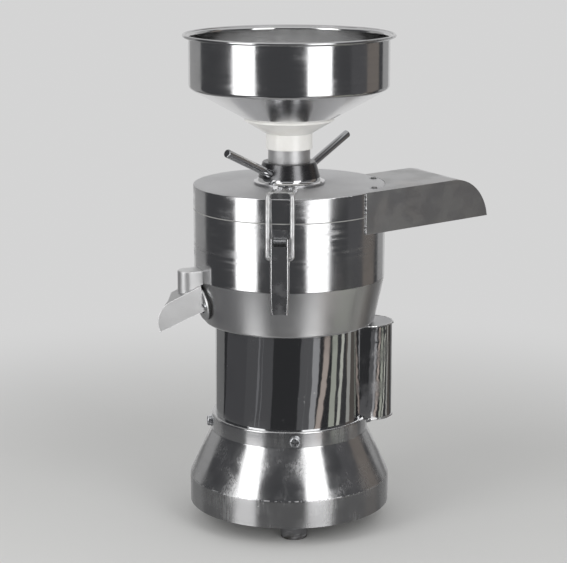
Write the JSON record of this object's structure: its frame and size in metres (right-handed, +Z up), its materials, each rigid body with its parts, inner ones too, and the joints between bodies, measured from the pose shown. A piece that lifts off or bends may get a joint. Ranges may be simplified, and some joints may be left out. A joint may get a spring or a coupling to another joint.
{
  "type": "soy milk machine",
  "caption": "Upright soybean grinder with hopper, adjusting nut, latched lid, side chute for dregs, sloped milk spout, motor body and bell stand.",
  "frame": {"origin": "the point on the machine's upright axis (motor shaft, bowl and hopper axis) at the level its rubber feet stand on", "axes": "+Z up along the shaft, -Y to the front (the latch that the picture shows), +X to the side of the capacitor box"},
  "size_m": [0.4014, 0.2813, 0.6],
  "materials": {
    "polished_steel": "polished stainless steel",
    "satin_steel": "satin brushed stainless steel",
    "dull_steel": "dull brushed sheet steel with faint marks",
    "zinc_steel": "zinc plated steel fastener",
    "cast_aluminium": "as cast, machined on its seats",
    "grey_rubber": "worn grey rubber",
    "black_rubber": "black rubber",
    "white_seal": "off-white silicone",
    "white_nylon": "off-white moulded nylon",
    "black_plastic": "black moulded plastic",
    "grindstone": "bonded grit, rough",
    "core_steel": "laminated core steel",
    "copper": "lacquered copper winding",
    "bearing_steel": "ground bearing steel",
    "capacitor_can": "black can"
  },
  "bodies": {
    "stand": {"feet": "grey_rubber", "foot_screws": "zinc_steel", "bottom_plate": "satin_steel", "base_bell": "polished_steel", "collar_washers": "zinc_steel", "collar_screws": "zinc_steel", "lower_end_shield": "cast_aluminium", "upper_end_shield": "cast_aluminium", "motor_skin": "polished_steel", "stator_core": "core_steel", "stator_windings": "copper", "lower_bearing": "bearing_steel", "upper_bearing": "bearing_steel", "capacitor_box": "polished_steel", "capacitor_box_caps": "satin_steel", "capacitor": "capacitor_can", "power_switch": "black_plastic", "switch_nut": "zinc_steel", "cable_gland": "black_plastic", "gland_cap": "black_plastic", "bowl": "polished_steel", "bowl_screws": "zinc_steel", "shaft_seal": "black_rubber", "spout_gasket": "black_rubber", "spout_flange": "satin_steel", "spout_screws": "zinc_steel", "milk_spout": "satin_steel", "outlet_box": "satin_steel", "lid_gasket": "white_seal", "lid": "polished_steel", "dregs_chute": "dull_steel", "chute_rivets": "dull_steel", "lid_hub": "satin_steel", "key_pin": "zinc_steel", "lid_catches": "polished_steel", "latch_bases": "polished_steel", "latch_pins": "zinc_steel", "catch_rivets": "zinc_steel"},
    "rotor": {"motor_shaft": "bearing_steel", "rotor_core": "core_steel", "cooling_fan": "black_plastic", "stone_carrier": "satin_steel", "lower_grindstone": "grindstone", "stone_nut": "zinc_steel", "filter_basket": "satin_steel"},
    "adjuster": {"hand_nut": "polished_steel", "handle_rods": "polished_steel"},
    "feed_tube": {"feed_stem": "satin_steel", "stone_holder": "satin_steel", "upper_grindstone": "grindstone", "stone_spring": "bearing_steel"},
    "hopper_unit": {"hopper": "polished_steel", "hopper_seat": "white_nylon"},
    "front_lever": {"front_latch_lever": "polished_steel"},
    "front_bail": {"front_latch_bail": "polished_steel"},
    "rear_lever": {"rear_latch_lever": "polished_steel"},
    "rear_bail": {"rear_latch_bail": "polished_steel"},
    "toggle": {"switch_toggle": "zinc_steel"}
  },
  "joints": [
    {"name": "rotor_spin", "type": "hinge", "parent": "stand", "child": "rotor", "pos_m": [0, 0, 0.2], "axis": [0, 0, 1], "continuous": true},
    {"name": "adjuster_turn", "type": "hinge", "parent": "stand", "child": "adjuster", "pos_m": [0, 0, 0.43], "axis": [0, 0, 1], "range_deg": [-540, 160]},
    {"name": "stone_gap", "type": "slide", "parent": "stand", "child": "feed_tube", "axis": [0, 0, 1], "range_m": [-0.0009, 0.0031], "deforming": ["stone_spring"]},
    {"name": "hopper_lift", "type": "slide", "parent": "feed_tube", "child": "hopper_unit", "axis": [0, 0, 1], "range_m": [0, 0.06]},
    {"name": "front_lever_swing", "type": "hinge", "parent": "stand", "child": "front_lever", "pos_m": [-0.01081, -0.12353, 0.372], "axis": [-0.9962, 0.0872, 0], "range_deg": [0, 90]},
    {"name": "front_bail_swing", "type": "hinge", "parent": "front_lever", "child": "front_bail", "pos_m": [-0.01081, -0.12353, 0.352], "axis": [-0.9962, 0.0872, 0], "range_deg": [-70, 1]},
    {"name": "rear_lever_swing", "type": "hinge", "parent": "stand", "child": "rear_lever", "pos_m": [0.01081, 0.12353, 0.372], "axis": [0.9962, -0.0872, 0], "range_deg": [0, 90]},
    {"name": "rear_bail_swing", "type": "hinge", "parent": "rear_lever", "child": "rear_bail", "pos_m": [0.01081, 0.12353, 0.352], "axis": [0.9962, -0.0872, 0], "range_deg": [-70, 1]},
    {"name": "switch_throw", "type": "hinge", "parent": "stand", "child": "toggle", "pos_m": [0, 0.11368, 0.08789], "axis": [-1, 0, 0], "range_deg": [-14, 14]}
  ],
  "couplings": [
    {"joint": "stone_gap", "follows": "adjuster_turn", "m_per_rad": -0.00031831},
    {"joint": "front_bail_swing", "follows": "front_lever_swing", "ratio": -0.75},
    {"joint": "rear_bail_swing", "follows": "rear_lever_swing", "ratio": -0.75}
  ]
}
